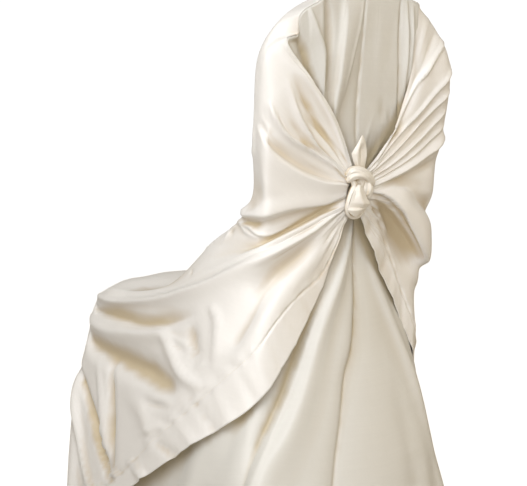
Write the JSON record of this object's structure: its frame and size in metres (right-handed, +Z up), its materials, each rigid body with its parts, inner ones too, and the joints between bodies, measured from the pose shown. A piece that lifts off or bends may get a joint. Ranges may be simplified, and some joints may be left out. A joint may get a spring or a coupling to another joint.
{
  "type": "self-tie chair cover",
  "caption": "Satin cover that drops over a round-backed chair to the floor, its side ears drawn back and tied in a knot behind the backrest.",
  "frame": {"origin": "under the top of the cover, at the highest point of the chair's backrest that carries it, in the middle of its width and thickness", "axes": "+Z up; the seat faces -Y and the knot is on the +Y side; +X is the sitter's left"},
  "size_m": [0.5163, 0.6205, 0.9819],
  "materials": {
    "satin": "ivory polyester satin, soft sheen"
  },
  "bodies": {
    "root": {"wrap": "satin", "back_panel": "satin", "knot": "satin", "tie_end_upper": "satin", "tie_end_lower": "satin"}
  },
  "joints": []
}
